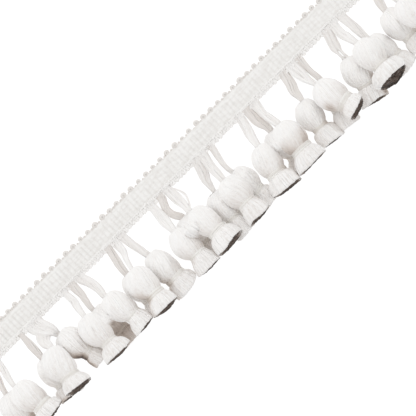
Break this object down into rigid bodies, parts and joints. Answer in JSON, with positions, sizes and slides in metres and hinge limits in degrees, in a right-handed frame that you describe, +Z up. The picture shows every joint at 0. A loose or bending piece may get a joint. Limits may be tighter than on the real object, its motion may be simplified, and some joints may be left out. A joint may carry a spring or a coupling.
{
  "type": "onion tassel fringe trim",
  "caption": "Cut length of ribbed heading tape with a picot edge, hung in threes with tied ball tassels that end in flared skirts.",
  "frame": {"origin": "middle of the underside of the whole trim's box, on the surface that it lies on", "axes": "+X along the trim, +Y toward the picot edge, so that the tassels hang toward -Y, +Z up from the surface"},
  "size_m": [0.246, 0.0486, 0.0242],
  "materials": {
    "heading_cotton": "matt off-white ribbed weave with picot loops along one edge",
    "tassel_yarn": "soft matt off-white cotton yarn, with the cut ends of the skirts in shade",
    "tie_yarn": "off-white twisted cotton, wound round the neck"
  },
  "bodies": {
    "root": {"heading": "heading_cotton", "tassel_01": "tassel_yarn", "tassel_02": "tassel_yarn", "tassel_03": "tassel_yarn", "tassel_04": "tassel_yarn", "tassel_05": "tassel_yarn", "tassel_06": "tassel_yarn", "tassel_07": "tassel_yarn", "tassel_08": "tassel_yarn", "tassel_09": "tassel_yarn", "tassel_10": "tassel_yarn", "tassel_11": "tassel_yarn", "tassel_12": "tassel_yarn", "tassel_13": "tassel_yarn", "tassel_14": "tassel_yarn", "tassel_15": "tassel_yarn", "tassel_16": "tassel_yarn", "tassel_17": "tassel_yarn", "tassel_18": "tassel_yarn", "tassel_19": "tassel_yarn", "tassel_20": "tassel_yarn", "tassel_21": "tassel_yarn", "tassel_22": "tassel_yarn", "tassel_23": "tassel_yarn", "tassel_24": "tassel_yarn", "tassel_25": "tassel_yarn", "tassel_26": "tassel_yarn", "tassel_27": "tassel_yarn", "tassel_28": "tassel_yarn", "tie_01": "tie_yarn", "tie_02": "tie_yarn", "tie_03": "tie_yarn", "tie_04": "tie_yarn", "tie_05": "tie_yarn", "tie_06": "tie_yarn", "tie_07": "tie_yarn", "tie_08": "tie_yarn", "tie_09": "tie_yarn", "tie_10": "tie_yarn", "tie_11": "tie_yarn", "tie_12": "tie_yarn", "tie_13": "tie_yarn", "tie_14": "tie_yarn", "tie_15": "tie_yarn", "tie_16": "tie_yarn", "tie_17": "tie_yarn", "tie_18": "tie_yarn", "tie_19": "tie_yarn", "tie_20": "tie_yarn", "tie_21": "tie_yarn", "tie_22": "tie_yarn", "tie_23": "tie_yarn", "tie_24": "tie_yarn", "tie_25": "tie_yarn", "tie_26": "tie_yarn", "tie_27": "tie_yarn", "tie_28": "tie_yarn"}
  },
  "joints": []
}
